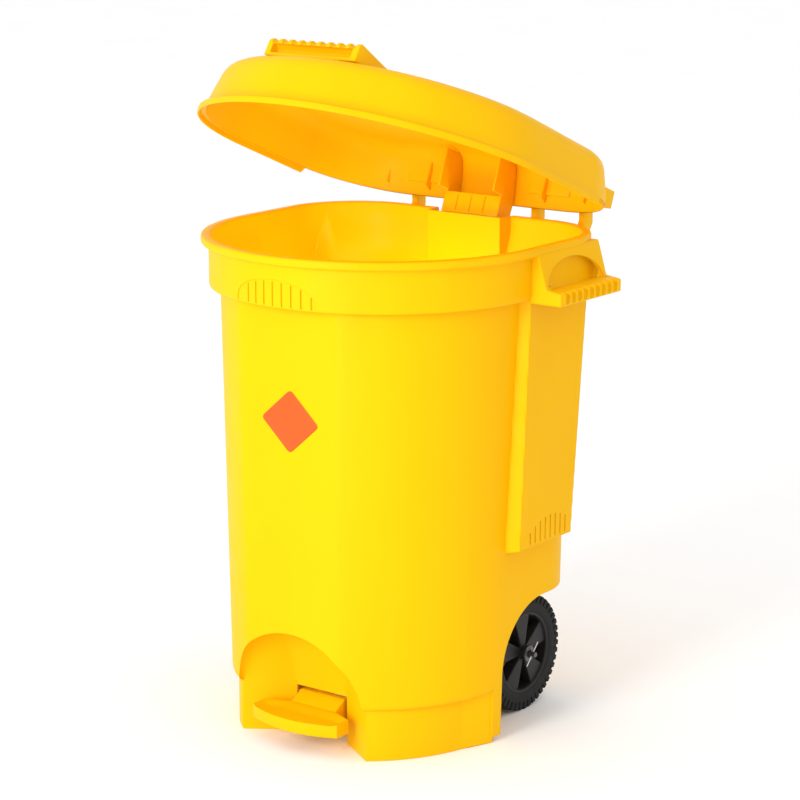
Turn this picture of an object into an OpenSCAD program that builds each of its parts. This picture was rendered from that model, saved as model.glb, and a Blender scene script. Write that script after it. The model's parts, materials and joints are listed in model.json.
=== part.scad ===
// Wheeled pedal waste bin with a hinged tray lid, millimetres, +Z up, front towards -Y.
// The lid is drawn partly open and the pedal partly pressed: that is the rest pose.

/* [Bin body] */
// height of the rim above the floor
rim_z = 820; // [600:1:1000]
// half width of the wall, carried down to the floor
base_a = 243; // [180:1:300]
// front depth of the wall, carried down to the floor
base_b = 262; // [180:1:300]
// back of the wall, carried down to the floor
base_back = 241; // [160:1:300]
// half width of the wall under the collar
top_a = 263.5; // [180:1:320]
// front depth of the wall under the collar
top_b = 263; // [180:1:320]
// back of the wall under the collar
top_back = 244; // [160:1:320]
// half width of the collar
collar_a = 283; // [200:1:340]
// front depth of the collar
collar_b = 280; // [200:1:340]
// back of the collar
collar_back = 257; // [180:1:340]
// height of the collar's lower edge
collar_z = 736; // [500:1:900]
// how far the rim lip stands out of the collar
lip_out = 13; // [4:1:20]
// height of the rim lip
lip_h = 14; // [6:1:24]
// wall thickness of the moulding
wall = 3.2; // [2:0.1:8]
// top face of the inside floor
floor_z = 120; // [80:1:200]
// height of the set-back plinth
plinth_z = 86; // [40:1:160]
// half width of the plinth
plinth_a = 230; // [180:1:300]
// front depth of the plinth
plinth_b = 258; // [180:1:300]
// back of the plinth
plinth_back = 236; // [160:1:300]
// distance of the flat front panel from the middle
panel_y = 244; // [200:1:280]

/* [Handles] */
// front end of each side handle
handle_y0 = 16; // [0:1:60]
// back end of each side handle
handle_y1 = 194; // [120:1:260]
// reach of the handle bar from the middle
handle_x = 339; // [300:1:380]
// underside of the handle bar
handle_z = 730; // [600:1:900]
// ribs on each handle bar
handle_ribs = 9; // [0:1:14]

/* [Lid] */
// hinge axis, distance behind the middle
hinge_y = 340; // [280:1:400]
// hinge axis, height
hinge_z = 852; // [780:1:900]
// how far the lid stands open at rest
lid_open = 22; // [0:1:60]
// lid skirt lower edge when closed
skirt_z = 806; // [780:1:820]
// lid crown height when closed
crown_z = 900; // [860:1:940]
// lid skirt half width
skirt_a = 308; // [260:1:340]
// lid skirt front depth
skirt_b = 316; // [260:1:340]
// lid skirt back
skirt_back = 325; // [280:1:360]
// where the lid's outer skirt stops, distance behind the middle
skirt_end = 183; // [120:1:260]
// lid wall thickness
lid_wall = 3; // [2:0.5:6]
// hinge pin radius
pin_r = 4; // [2:0.5:8]
// inner ear of each hinge, distance from the middle
ear_in = 78; // [40:1:120]
// outer ear of each hinge, distance from the middle
ear_out = 175; // [120:1:220]
// ear thickness
ear_t = 12; // [6:1:20]

/* [Pedal] */
// pedal pivot, distance from the middle
pivot_y = -60; // [-140:1:0]
// pedal pivot height
pivot_z = 50; // [30:1:90]
// half width of the tread
tread_x = 88; // [50:1:120]
// front corners of the tread
tread_y = -237; // [-260:1:-200]
// how far the tread's front edge bows out between its corners
tread_bow = 21; // [0:1:24]
// top of the tread
tread_z = 58; // [40:1:90]
// push rod radius
rod_r = 5; // [3:0.5:10]
// push rod, distance behind the middle
rod_y = 270; // [255:1:290]

/* [Wheels] */
// tyre radius
wheel_r = 100; // [60:1:125]
// axle position behind the middle
wheel_y = 146; // [100:1:200]
// inner face of the tyre
wheel_x0 = 149; // [120:1:180]
// outer face of the tyre
wheel_x1 = 194; // [160:1:220]
// axle radius
axle_r = 7; // [4:0.5:12]
// tread blocks round each tyre
tyre_lugs = 44; // [12:1:48]

/* [Label] */
// half of the label's horizontal diagonal
label_hx = 58; // [30:1:90]
// half of the label's vertical diagonal
label_hz = 52; // [30:1:90]
// label centre height
label_z = 549; // [300:1:700]

/* [Output] */
// node to draw

/* [Hidden] */
$fn = 64;
eps = 0.01;
// shift that puts the frame's origin under the middle of the whole part
y_shift = -30.5;
base_r = 109;
top_r = 123;
plinth_r = 104;
collar_r = 130;
pillar_z = 322;
pillar_x0 = 277;
pillar_x1 = 282.5;
lip_r = collar_r + lip_out;
run = 0.06;
far = 400;
bay_y = 112;
bay_z = 110;
bay_r = 113;
bay_x = 140;
bay_top = 222;
bay_front = bay_y - bay_r;
skirt_foot_z = 9;
skirt_foot_y = -24;
floor_t = 4;
chan_y = 232;
alcove_in = 165;
alcove_side = 215;
throat_x = 52;
throat_z = 80;
alcove_x = 131;
arch_a = 126;
arch_b = 110;
// rod channel: half width at its bottom and at its mouth
chan_x0 = 72;
chan_x1 = 87;
chan_mouth = 300;
// pillar under each handle, in the side view: back edge at its foot, front and back edges at its top
pillar_foot_y = 152;
pillar_top_y0 = 14;
pillar_top_y1 = 185;
// decorative grooves
groove_w = 4;
groove_pitch = 14;
groove_h = 26;
arch_pitch = 16;
// hinge bracket plate
bracket_x0 = 66;
bracket_x1 = 187;
bracket_z0 = 692;
bracket_top = 796;
bracket_y = 259;
bracket_t = 6;
skirt_r = 150;
skirt_h = 12;
grip_x = 90;
grip_y = -248;
grip_back = -112;
grip_h = 30;
grip_ribs = 9;
grip_pitch = 19;
// plan of the dome where it leaves the skirt
dome_a = 302;
dome_b = 300;
dome_back = 309;
dome_r = 146;
// the dome's shoulder, bottom to top: [inset at the sides, inset front and back, depth below the crown]
dome_steps = [[14, 10, 34], [18, 14, 20], [27, 23, 10], [41, 37, 3], [59, 55, 0]];
knuckle_r = 13;
knuckle_y = 291;
lug_x = 224;
lug_h = 30;
lug_back = 347.9;
pin_end = 216;
bar_h = 22;
rib_r = 6;
rod_top = 796.2;
cap_r = 6;
lever_h = 8;
lever_y = -176;
pivot_r = 5;
tread_h = 22;
tread_back = -206;
neck_x = 46;
neck_y = -188;
neck_end = -150;
neck_z = 73.5;
block_x = 58;
block_y = 264;
block_z = 785;
foot_r = 7;
rod_bot = pivot_z + lever_h / 2 + foot_r + 0.6;
cotter_x = 206;
lug_gap = 4;
cotter_r = 1.6;
cotter_len = 46;
cotter_lean = 43;
rim_r = 69;
spoke_turn = 184;
hub_r = 19;
washer_r = 14;
axle_end = 214;

// ---- plan outlines: a half ellipse in front, straight sides, rounded back corners ----
function front_arc(a, b, n) = [for (i = [-n:n]) [a * sin(90 * i / n), -b * cos(90 * i / n)]];
function corner_arc(a, yb, r, n) =
  [for (i = [0:n]) [a - r + r * cos(90 * i / n), yb - r + r * sin(90 * i / n)]];
function flip(pts) = [for (i = [len(pts) - 1:-1:0]) [-pts[i][0], pts[i][1]]];
function plan(a, b, yb, r) =
  concat(front_arc(a, b, 22), corner_arc(a, yb, r, 9), flip(corner_arc(a, yb, r, 9)));

module slab(pts, z) {
  translate([0, 0, z]) linear_extrude(eps) polygon(pts);
}

// prism with its profile in the YZ plane, drawn from x0 to x1
module yz_prism(pts, x0, x1) {
  translate([x0, 0, 0]) rotate([90, 0, 90]) linear_extrude(x1 - x0) polygon(pts);
}

// prism with its profile in the XZ plane, drawn from y0 to y1
module xz_prism(pts, y0, y1) {
  translate([0, y1, 0]) rotate([90, 0, 0]) linear_extrude(y1 - y0) polygon(pts);
}

module x_cyl(r, x0, x1, y, z) {
  translate([x0, y, z]) rotate([0, 90, 0]) cylinder(r = r, h = x1 - x0);
}

// ---- bin body ----
module wall_loft(t, z0, z1) {
  k0 = z0 / collar_z;
  k1 = z1 / collar_z;
  hull() {
    slab(plan(base_a + (top_a - base_a) * k0 - t, base_b + (top_b - base_b) * k0 - t,
              base_back + (top_back - base_back) * k0 - t, base_r + (top_r - base_r) * k0 - t), z0);
    slab(plan(base_a + (top_a - base_a) * k1 - t, base_b + (top_b - base_b) * k1 - t,
              base_back + (top_back - base_back) * k1 - t, base_r + (top_r - base_r) * k1 - t), z1 - eps);
  }
}

function plinth_plan(t) = plan(plinth_a - t, plinth_b - t, plinth_back - t, plinth_r - t);

// the pedal alcove: a splayed opening under a scooped arch, grown by g
module alcove(g) {
  side = alcove_x + g;
  throat = throat_x + g;
  plan_pts = [[-side, -far], [side, -far], [side, -alcove_side], [throat, -alcove_in + g],
              [-throat, -alcove_in + g], [-side, -alcove_side]];
  translate([0, 0, -1]) linear_extrude(plinth_z + 1) polygon(plan_pts);
  hull() {
    translate([0, 0, plinth_z - eps]) linear_extrude(g + eps) polygon(plan_pts);
    xz_prism([for (a = [0:7.5:180]) [-(arch_a + g) * cos(a), plinth_z + (arch_b + g) * sin(a)]],
             -panel_y - eps, -panel_y);
  }
}

module wheel_bay(x0, grow) {
  for (s = [-1, 1]) {
    scale([s, 1, 1]) {
      x_cyl(bay_r + grow, x0 - grow, far, bay_y, bay_z);
      translate([x0 - grow, bay_y, -1]) cube([far, far, bay_top + grow + 1]);
      translate([x0 - grow, bay_front - grow, -1]) cube([far, bay_y + 2, bay_z + 1]);
    }
  }
}

module rod_channel(g) {
  translate([0, 0, -1])
    linear_extrude(rim_z + 2)
      polygon([[-chan_x0 - g, chan_y - g], [chan_x0 + g, chan_y - g],
               [chan_x1 + g, chan_mouth], [-chan_x1 - g, chan_mouth]]);
}

// pillar under each handle, drawn t inside its outer faces
module side_pillar(t) {
  top_z = collar_z + 10;
  intersection() {
    xz_prism([[200, pillar_z + t], [pillar_x0 - t, pillar_z + t], [pillar_x1 - t, top_z], [200, top_z]],
             -20, 240);
    yz_prism([[t - 3, pillar_z], [pillar_foot_y - t, pillar_z], [pillar_top_y1 - t, top_z],
              [pillar_top_y0 + t, top_z]], 190, 300);
  }
}

module handle_outer() {
  bar_top = handle_z + bar_h;
  gusset_z = rim_z - lip_h + 4;
  xz_prism([[270, handle_z], [handle_x, handle_z], [handle_x, bar_top], [311, bar_top + 2],
            [294, gusset_z], [270, gusset_z]], handle_y0, handle_y1);
  rib_pitch = (handle_y1 - handle_y0 - 2 * rib_r) / (handle_ribs - 1);
  for (i = [0:handle_ribs - 1])
    translate([handle_x - rib_r + 2, handle_y0 + rib_r + i * rib_pitch, handle_z])
      cylinder(r = rib_r, h = bar_h, $fn = 24);
}

module handle_hollow() {
  xz_prism([[288, handle_z - 1], [handle_x - 5, handle_z - 1], [handle_x - 5, handle_z + bar_h - 4],
            [307, handle_z + bar_h - 2], [292, rim_z - lip_h - 6], [288, rim_z - lip_h - 6]],
           handle_y0 + 4.5, handle_y1 - 4.5);
}

module bin_outer() {
  intersection() {
    wall_loft(0, plinth_z, collar_z + 6);
    translate([-far, -panel_y, 0]) cube([2 * far, 2 * far, rim_z]);
  }
  linear_extrude(plinth_z + wall) polygon(plinth_plan(0));
  // strips of the wall that run down in front of the wheels
  intersection() {
    wall_loft(0, skirt_foot_z, plinth_z + wall);
    translate([-far, skirt_foot_y, 0]) cube([2 * far, bay_front - skirt_foot_y, rim_z]);
  }
  translate([0, 0, collar_z])
    linear_extrude(rim_z - collar_z - 2) polygon(plan(collar_a, collar_b, collar_back, collar_r));
  translate([0, 0, rim_z - lip_h])
    linear_extrude(lip_h)
      polygon(plan(collar_a + lip_out, collar_b + lip_out - 1, collar_back + lip_out, lip_r));
  for (s = [-1, 1]) {
    scale([s, 1, 1]) {
      side_pillar(0);
      handle_outer();
      // pad that the hinge bracket sits on
      translate([bracket_x0 - 2, 200, bracket_z0 - 4])
        cube([bracket_x1 - bracket_x0 + 4, bracket_y - 200, bracket_top - bracket_z0 + 8]);
    }
  }
}

module bin_inner() {
  difference() {
    union() {
      wall_loft(wall, floor_z, collar_z + 4);
      translate([0, 0, collar_z + wall])
        linear_extrude(rim_z)
          polygon(plan(collar_a - wall, collar_b - wall, collar_back - wall, collar_r - wall));
      for (s = [-1, 1])
        scale([s, 1, 1]) side_pillar(wall);
    }
    translate([-far, -far, 0]) cube([2 * far, far - panel_y + wall, collar_z + wall]);
    alcove(wall);
    wheel_bay(bay_x, wall);
    rod_channel(wall);
  }
}

module under_floor() {
  difference() {
    union() {
      translate([0, 0, -1]) linear_extrude(floor_z - floor_t + 1) polygon(plinth_plan(wall));
      wall_loft(wall, plinth_z + wall, floor_z - floor_t);
    }
    alcove(wall);
    wheel_bay(bay_x, wall);
    translate([-100, chan_y - wall, -2]) cube([200, 60, 200]);
  }
}

module bin_shell() {
  color("gold")
    difference() {
      bin_outer();
      bin_inner();
      under_floor();
      alcove(0);
      wheel_bay(bay_x, 0);
      rod_channel(0);
      // throat that the pedal arm passes through
      translate([-throat_x, -alcove_in - 1, -1]) cube([2 * throat_x, 20, throat_z + 1]);
      // slot that the lever passes through at the back
      translate([-30, chan_y - 20, -1]) cube([60, 60, floor_z - floor_t + 1]);
      for (s = [-1, 1]) {
        scale([s, 1, 1]) {
          handle_hollow();
          x_cyl(axle_r + 0.3, bay_x - 10, bay_x + 2, wheel_y, wheel_r);
          // grooves at the foot of each side pillar
          for (i = [0:6])
            translate([pillar_x0 - 1, 34 + i * groove_pitch, pillar_z + 4]) cube([10, groove_w, groove_h]);
        }
      }
      // grooves under the arch on the front of the collar
      for (i = [0:7])
        translate([-58 + i * arch_pitch, -collar_b - 2, collar_z - 1])
          cube([groove_w, 4.5, 24 + 14 * sin(22 * (i + 0.6))]);
    }
}

// ---- hinge brackets and pins ----
module hinge_ear(x) {
  difference() {
    union() {
      yz_prism([[262, 700], [262, bracket_top], [316, bracket_top], [hinge_y - knuckle_r, 812],
                [hinge_y - knuckle_r, hinge_z], [hinge_y + knuckle_r, hinge_z],
                [hinge_y + knuckle_r, 806], [332, 776], [284, 700]],
               x - ear_t / 2, x + ear_t / 2);
      x_cyl(knuckle_r, x - ear_t / 2, x + ear_t / 2, hinge_y, hinge_z);
    }
    x_cyl(pin_r, x - ear_t, x + ear_t, hinge_y, hinge_z);
  }
}

module hinge_bracket() {
  color("gold") {
    translate([bracket_x0, bracket_y, bracket_z0])
      cube([bracket_x1 - bracket_x0, bracket_t, bracket_top - bracket_z0]);
    hinge_ear(ear_in);
    hinge_ear(ear_out);
  }
}

module hinge_pin() {
  head = ear_in - ear_t / 2;
  color("silver") {
    x_cyl(pin_r, head - 1, pin_end, hinge_y, hinge_z);
    x_cyl(pin_r + 3, head - 4, head, hinge_y, hinge_z);
  }
}

// ---- label ----
module label_plate() {
  color("tomato")
    translate([3, -panel_y, label_z])
      rotate([90, 0, 0])
        linear_extrude(0.8)
          rotate(-1)
            union() {
              polygon([[0, label_hz - 6], [label_hx - 6, 0], [0, -label_hz + 6], [-label_hx + 6, 0]]);
              difference() {
                polygon([[0, label_hz], [label_hx, 0], [0, -label_hz], [-label_hx, 0]]);
                for (s = [-1, 1]) {
                  translate([s * (label_hx + 1), 0]) circle(r = 6, $fn = 32);
                  translate([0, s * (label_hz + 1)]) circle(r = 6, $fn = 32);
                }
              }
            }
}

// ---- push rod ----
module rod_guide(z) {
  color("gold")
    difference() {
      union() {
        translate([-20, chan_y, z - 14]) cube([40, 4, 28]);
        translate([-9, chan_y, z - 10]) cube([18, rod_y - chan_y, 20]);
        translate([0, rod_y, z - 10]) cylinder(r = 9, h = 20);
      }
      translate([0, rod_y, z - 11]) cylinder(r = rod_r + run, h = 22);
    }
}

module push_rod() {
  color("silver")
    translate([0, rod_y, rod_bot]) cylinder(r = rod_r, h = rod_top - rod_bot);
}

module rod_cap() {
  color("dimgray")
    translate([0, rod_y, rod_top])
      intersection() {
        sphere(r = cap_r);
        translate([-8, -8, 0]) cube([16, 16, 10]);
      }
}

module rod_foot() {
  color("dimgray")
    translate([0, rod_y, rod_bot])
      intersection() {
        sphere(r = foot_r);
        translate([-8, -8, -10]) cube([16, 16, 10]);
      }
}

// ---- wheels ----
module cotter_bar(len) {
  rotate([-cotter_lean, 0, 0]) translate([0, 0, -len / 2]) cylinder(r = cotter_r, h = len, $fn = 24);
}

module wheel_axle() {
  color("silver")
    difference() {
      x_cyl(axle_r, -axle_end, axle_end, wheel_y, wheel_r);
      for (s = [-1, 1])
        translate([s * cotter_x, wheel_y, wheel_r]) cotter_bar(cotter_len + 4);
    }
}

module axle_clamp() {
  color("dimgray")
    difference() {
      translate([bay_x - 16, wheel_y - 18, 80]) cube([12, 36, floor_z - floor_t - 80]);
      x_cyl(axle_r, bay_x - 20, bay_x, wheel_y, wheel_r);
    }
}

module wheel_core() {
  color("dimgray")
    translate([0, wheel_y, wheel_r])
      rotate([0, 90, 0])
        difference() {
          union() {
            // rim ring and hub
            translate([0, 0, wheel_x0 + 3])
              difference() {
                cylinder(r = rim_r, h = wheel_x1 - wheel_x0 - 8, $fn = 96);
                translate([0, 0, -1]) cylinder(r = rim_r - 6, h = 60, $fn = 96);
              }
            translate([0, 0, wheel_x0 - 5]) cylinder(r = hub_r, h = 53.5);
            for (k = [0:4])
              rotate(72 * k + spoke_turn)
                translate([0, 0, wheel_x0 + 14])
                  linear_extrude(14) polygon([[10, -9], [rim_r - 3, -17], [rim_r - 3, 17], [10, 9]]);
          }
          translate([0, 0, 100]) cylinder(r = axle_r + run, h = 140);
        }
}

module wheel_tyre() {
  w = wheel_x1 - wheel_x0;
  color("black")
    translate([wheel_x0, wheel_y, wheel_r])
      rotate([0, 90, 0])
        difference() {
          rotate_extrude($fn = 96)
            polygon([[rim_r, 3], [76, 0.5], [88, 0], [97, 0.6], [wheel_r, 3], [wheel_r, w - 3],
                     [97, w - 0.6], [88, w], [76, w - 0.5], [rim_r, w - 3]]);
          // gaps between the tread blocks, staggered left and right
          for (i = [0:tyre_lugs - 1])
            rotate(360 * i / tyre_lugs)
              translate([wheel_r - 4, -lug_gap / 2, (i % 2) * (w / 2 + 2) - 1])
                cube([8, lug_gap, w / 2]);
        }
}

module axle_washer() {
  color("silver")
    difference() {
      x_cyl(washer_r, wheel_x1 + 4, wheel_x1 + 6.5, wheel_y, wheel_r);
      x_cyl(axle_r, 190, 210, wheel_y, wheel_r);
    }
}

module cotter_pin() {
  color("silver")
    translate([cotter_x, wheel_y, wheel_r]) cotter_bar(cotter_len);
}

// ---- lid, drawn closed and then swung open about the hinge axis ----
module swung() {
  translate([0, hinge_y, hinge_z])
    rotate([-lid_open, 0, 0])
      translate([0, -hinge_y, -hinge_z]) children();
}

module lid_dome(t) {
  hull() {
    slab(plan(dome_a - t, dome_b - t, dome_back - t, dome_r - t), skirt_z + skirt_h - t - eps);
    for (step = dome_steps)
      slab(plan(dome_a - step[0] - t, dome_b - step[1] - t, dome_back - step[1] - t, dome_r - step[0] - t),
           crown_z - step[2] - t - eps);
  }
}

module lid_knuckle(x0, x1) {
  x_cyl(knuckle_r, x0, x1, hinge_y, hinge_z);
  translate([x0, knuckle_y, hinge_z - knuckle_r]) cube([x1 - x0, hinge_y - knuckle_y, 2 * knuckle_r]);
}

module lid_shell() {
  kx0 = ear_in + ear_t / 2 + 0.5;
  kx1 = ear_out - ear_t / 2 - 0.5;
  kx2 = ear_out + ear_t / 2 + 0.5;
  color("gold")
    swung()
      difference() {
        union() {
          // skirt round the front and sides, open behind skirt_end
          translate([0, 0, skirt_z])
            linear_extrude(skirt_h)
              intersection() {
                polygon(plan(skirt_a, skirt_b, skirt_back, skirt_r));
                translate([-skirt_a - 1, -skirt_b - 1]) square([2 * skirt_a + 2, skirt_b + 1 + skirt_end]);
              }
          lid_dome(0);
          for (s = [-1, 1]) {
            scale([s, 1, 1]) {
              lid_knuckle(kx0, kx1);
              // the outer knuckle is a square lug
              translate([kx2, knuckle_y, hinge_z - lug_h / 2])
                cube([lug_x - kx2, lug_back - knuckle_y, lug_h]);
            }
          }
        }
        translate([0, 0, skirt_z - 1])
          linear_extrude(10)
            polygon(plan(skirt_a - lid_wall, skirt_b - lid_wall, skirt_back - lid_wall, skirt_r - lid_wall));
        lid_dome(lid_wall);
        for (s = [-1, 1])
          scale([s, 1, 1]) x_cyl(pin_r + run, 60, pin_end + 2, hinge_y, hinge_z);
      }
}

module lid_grip() {
  color("gold")
    swung() {
      difference() {
        yz_prism([[grip_y, crown_z], [grip_y + 5, crown_z + 25], [grip_y + 11, crown_z + grip_h],
                  [grip_y + 20, crown_z + grip_h - 2], [grip_back - 2, crown_z + 3], [grip_back, crown_z]],
                 -grip_x, grip_x);
        // finger hollow under the front edge
        yz_prism([[grip_y - 1, crown_z + 4], [grip_y - 1, crown_z + 16], [grip_y + 14, crown_z + 16],
                  [grip_y + 20, crown_z + 10], [grip_y + 20, crown_z + 4]], 10 - grip_x, grip_x - 10);
      }
      for (i = [0:grip_ribs - 1])
        translate([(i - (grip_ribs - 1) / 2) * grip_pitch, grip_y + 11, crown_z + grip_h - 6])
          sphere(r = 6.5, $fn = 24);
    }
}

// bracket behind the lid's back wall that the rod pushes on: two side plates and a grooved front
module lid_push_block() {
  side = [[block_y, block_z], [block_y, 824], [237, 824], [237, crown_z], [320, crown_z], [320, 815],
          [306, block_z]];
  color("gold")
    swung()
      difference() {
        union() {
          for (x = [-block_x, block_x - 4])
            yz_prism(side, x, x + 4);
          translate([-block_x, block_y, block_z]) cube([2 * block_x, 42, 8]);
          translate([-block_x, block_y, block_z]) cube([2 * block_x, 4, 36]);
        }
        for (x = [-30, -2, 26])
          translate([x, block_y - 1, block_z + 2]) cube([3, 2.2, 40]);
        lid_rear_trim();
      }
}

// everything outside the inner faces of the lid's skirt and dome
module lid_rear_trim() {
  difference() {
    translate([-80, 230, 780]) cube([160, 140, 140]);
    lid_dome(lid_wall);
    translate([0, 0, skirt_z - 60])
      linear_extrude(70)
        polygon(plan(skirt_a - lid_wall, skirt_b - lid_wall, dome_back - lid_wall, skirt_r - lid_wall));
  }
}

// ---- pedal ----
module tread_plan(g) {
  front = [for (i = [-8:8]) [(tread_x - g) * i / 8, tread_y + g - tread_bow * (1 - i * i / 64)]];
  side = tread_x - g;
  neck = neck_x - g;
  polygon(concat(front, [[side, tread_back - g / 2], [neck, neck_y - g], [neck, neck_end - g],
                         [-neck, neck_end - g], [-neck, neck_y - g], [-side, tread_back - g / 2]]));
}

module pedal_tread() {
  color("gold") {
    difference() {
      union() {
        translate([0, 0, tread_z - tread_h]) linear_extrude(tread_h) tread_plan(0);
        // the neck rises into the alcove's throat
        yz_prism([[neck_y - 4, tread_z - 2], [neck_y - 4, tread_z], [-alcove_in + 2, neck_z],
                  [neck_end, neck_z], [neck_end, tread_z - 2]], -neck_x, neck_x);
      }
      translate([0, 0, tread_z - tread_h - 1]) linear_extrude(tread_h - 5) tread_plan(4);
      lever_bar();
    }
  }
}

module lever_bar() {
  translate([-12, lever_y, pivot_z - lever_h / 2]) cube([24, rod_y + 12 - lever_y, lever_h]);
}

module pedal_lever() {
  color("silver")
    difference() {
      union() {
        lever_bar();
        x_cyl(12, -48, 48, pivot_y, pivot_z);
      }
      x_cyl(pivot_r, -60, 60, pivot_y, pivot_z);
    }
}

module pedal_axle() {
  color("silver") x_cyl(pivot_r, -72, 72, pivot_y, pivot_z);
}

module pedal_bearing() {
  color("dimgray")
    difference() {
      translate([49, pivot_y - 15, pivot_z - 14]) cube([16, 30, floor_z - floor_t - pivot_z + 14]);
      x_cyl(pivot_r + run, 40, 80, pivot_y, pivot_z);
    }
}

module mir() {
  scale([-1, 1, 1]) children();
}

module place() {
  translate([0, y_shift, 0]) children();
}

place() bin_shell();
place() mir() hinge_bracket();  // hinge_bracket_l
place() hinge_bracket();  // hinge_bracket_r
place() mir() hinge_pin();  // hinge_pin_l
place() hinge_pin();  // hinge_pin_r
place() label_plate();
place() rod_guide(640);  // rod_guide_upper
place() rod_guide(300);  // rod_guide_lower
place() mir() axle_clamp();  // axle_clamp_l
place() axle_clamp();  // axle_clamp_r
place() wheel_axle();
place() mir() wheel_core();  // wheel_core_l
place() wheel_core();  // wheel_core_r
place() mir() wheel_tyre();  // wheel_tyre_l
place() wheel_tyre();  // wheel_tyre_r
place() mir() axle_washer();  // axle_washer_l
place() axle_washer();  // axle_washer_r
place() mir() cotter_pin();  // cotter_pin_l
place() cotter_pin();  // cotter_pin_r
place() lid_shell();
place() lid_grip();
place() lid_push_block();
place() pedal_tread();
place() pedal_lever();
place() pedal_axle();
place() mir() pedal_bearing();  // pedal_bearing_l
place() pedal_bearing();  // pedal_bearing_r
place() push_rod();
place() rod_cap();
place() rod_foot();
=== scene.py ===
"""Looks of the wheeled pedal bin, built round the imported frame.

Shapes are written in millimetres in the bin's own plan: x = 0 is its middle, y = 0 is where the front
curve meets the straight sides, z = 0 is the ground. laid() turns them into the frame's metres.
"""
import json
import math

import bmesh
import bpy
import numpy as np
from mathutils import Matrix, Vector


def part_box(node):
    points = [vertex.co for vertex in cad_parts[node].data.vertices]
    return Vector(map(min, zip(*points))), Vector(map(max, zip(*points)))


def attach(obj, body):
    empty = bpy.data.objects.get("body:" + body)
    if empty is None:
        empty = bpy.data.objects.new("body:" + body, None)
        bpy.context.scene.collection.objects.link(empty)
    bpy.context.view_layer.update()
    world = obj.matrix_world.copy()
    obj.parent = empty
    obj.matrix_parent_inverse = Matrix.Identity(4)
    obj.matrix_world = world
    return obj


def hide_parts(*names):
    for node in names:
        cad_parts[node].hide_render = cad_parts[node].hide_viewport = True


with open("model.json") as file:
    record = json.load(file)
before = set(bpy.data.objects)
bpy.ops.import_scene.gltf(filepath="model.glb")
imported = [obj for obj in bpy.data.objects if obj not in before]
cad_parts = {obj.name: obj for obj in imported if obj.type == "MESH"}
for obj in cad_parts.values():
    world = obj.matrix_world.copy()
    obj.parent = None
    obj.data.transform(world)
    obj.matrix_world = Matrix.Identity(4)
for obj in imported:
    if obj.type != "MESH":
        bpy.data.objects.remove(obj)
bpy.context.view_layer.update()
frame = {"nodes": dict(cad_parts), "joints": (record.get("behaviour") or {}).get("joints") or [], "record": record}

# ---------------------------------------------------------------- sizes, millimetres
BIN_LO, BIN_HI = (corner * 1000 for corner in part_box("bin_shell"))
AXLE_LO, AXLE_HI = (corner * 1000 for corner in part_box("wheel_axle"))
TYRE_LO, TYRE_HI = (corner * 1000 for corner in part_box("wheel_tyre_r"))
JOINTS = {joint["name"]: joint for joint in frame["joints"]}

RIM_Z = BIN_HI.z
# an outline is its half width, front, back and corner radius
LIP = (296, 292, 270, 143)
COLLAR = (283, 280, 257, 130)
WALL_TOP = (263.5, 263, 244, 123)
WALL_BASE = (243, 262, 241, 109)
PLINTH = (230, 258, 236, 104)
SHIFT_Y = BIN_LO.y + LIP[1]         # from the bin's own plan to the frame
COLLAR_Z = 736
PLINTH_Z = 86
LIP_H = 14
WALL = 3.2
FLOOR_Z = 120
FLOOR_T = 4
PANEL_Y = 244                       # how far forward the flat front panel stands
CHANNEL_Y = 232                     # front face of the push rod's channel
CHANNEL_X = (72, 87)                # its half width in front and behind
PILLAR_Z = 322                      # foot of the pillars under the handles
PILLAR_ZONE = (-60, 232)            # the pillars shape the wall between these two
FAR_FRONT, FAR_BACK = -300, 300     # cutting tools reach out to here
HANDLE_X = BIN_HI.x - 2
HANDLE_Z = 730
HANDLE_Y = (16, 194)
BAR_H = 22

WHEEL_Y = (TYRE_LO.y + TYRE_HI.y) / 2 - SHIFT_Y
WHEEL_Z = (TYRE_LO.z + TYRE_HI.z) / 2
WHEEL_R = (TYRE_HI.z - TYRE_LO.z) / 2
WHEEL_X = (TYRE_LO.x, TYRE_HI.x)
AXLE_R = (AXLE_HI.z - AXLE_LO.z) / 2
BAY = (112, 110, 113)               # y and z of the wheel bay's round top, and its radius
BAY_X = 140                         # inner face
BAY_FRONT = -1
COTTER_X = 206
TREAD_BLOCKS = 46

HINGE = Vector(JOINTS["lid_hinge"]["pos_m"]) * 1000
HINGE_Y, HINGE_Z = HINGE.y - SHIFT_Y, HINGE.z
KNUCKLE_R = 13
HINGE_PIN_R = 4.0
LID_OPEN = math.radians(22)
SKIRT_Z = 806
SKIRT_END = 183                     # the flared skirt ends here, in front of the hinge
CROWN_Z = 900
DOME = (302, 300, 309, 146)
SKIRT = (308, 316, 325, 150)
LID_WALL = 3

TREAD_X = 88
TREAD_Y = -237                      # front corners of the foot plate
TREAD_BOW = 21
TREAD_Z = 58
NECK_X = 46


# ---------------------------------------------------------------- mesh helpers
def laid(points):
    """Bin plan in millimetres to frame in metres."""
    return (np.asarray(points, float) + (0, SHIFT_Y, 0)) / 1000


def swung(points):
    """The shut lid's points, turned open about the hinge."""
    x, y, z = (np.array(points, float) - (0, HINGE_Y, HINGE_Z)).T
    c, s = math.cos(LID_OPEN), math.sin(LID_OPEN)
    return np.stack([x, y * c + z * s, z * c - y * s], 1) + (0, HINGE_Y, HINGE_Z)


def new_object(name, points, faces):
    mesh = bpy.data.meshes.new(name)
    mesh.from_pydata([tuple(p) for p in points], [], [tuple(int(i) for i in f) for f in faces])
    mesh.update()
    obj = bpy.data.objects.new(name, mesh)
    bpy.context.scene.collection.objects.link(obj)
    return obj


def tidy_normals(obj):
    """Turns every face outwards."""
    bm = bmesh.new()
    bm.from_mesh(obj.data)
    bmesh.ops.recalc_face_normals(bm, faces=bm.faces)
    bm.to_mesh(obj.data)
    bm.free()
    return obj


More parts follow.
